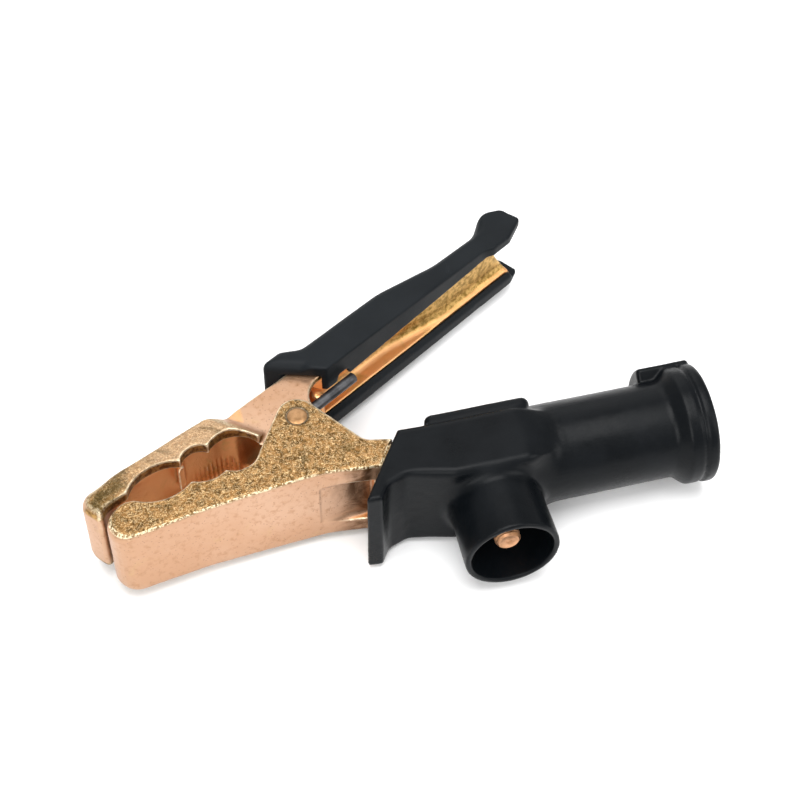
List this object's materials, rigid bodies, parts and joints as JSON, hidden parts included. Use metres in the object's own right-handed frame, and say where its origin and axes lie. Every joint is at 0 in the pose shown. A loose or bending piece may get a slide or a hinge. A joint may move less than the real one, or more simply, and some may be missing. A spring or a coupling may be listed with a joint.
{
  "type": "ground clamp",
  "caption": "Spring-loaded ground clamp: two cast brass jaws on a rivet, a covered squeeze handle and a black boot over the cable terminal.",
  "frame": {"origin": "centre of the bounding box's bottom face, the clamp lying on its side with the jaws shut", "axes": "+X along the cable tube towards the cable's exit, +Y towards the upper handle, +Z along the rivet"},
  "size_m": [0.2348, 0.1541, 0.0458],
  "materials": {
    "cast_brass": "as cast, grainy on the flanks, smooth on the outer faces",
    "rivet_brass": "plain, peened ends",
    "spring_steel": "dark oiled",
    "grip_plastic": "moulded, matte",
    "boot_rubber": "moulded, soft sheen",
    "bolt_brass": "turned end, rolled thread",
    "zinc_steel": "zinc plated"
  },
  "bodies": {
    "lower": {"lower_lever": "cast_brass", "pivot_rivet": "rivet_brass", "cable_boot": "boot_rubber", "terminal_bolt": "bolt_brass", "flat_washer": "zinc_steel", "lock_washer": "zinc_steel", "terminal_nut": "zinc_steel"},
    "upper": {"upper_lever": "cast_brass", "handle_cover": "grip_plastic", "torsion_spring": "spring_steel"}
  },
  "joints": [
    {"name": "squeeze", "type": "hinge", "parent": "lower", "child": "upper", "pos_m": [-0.03399, -0.01055, 0.0229], "axis": [0, 0, -1], "range_deg": [0, 34], "stiffness_Nm_per_rad": 4, "springref_deg": -34.38, "deforming": ["torsion_spring"]}
  ]
}
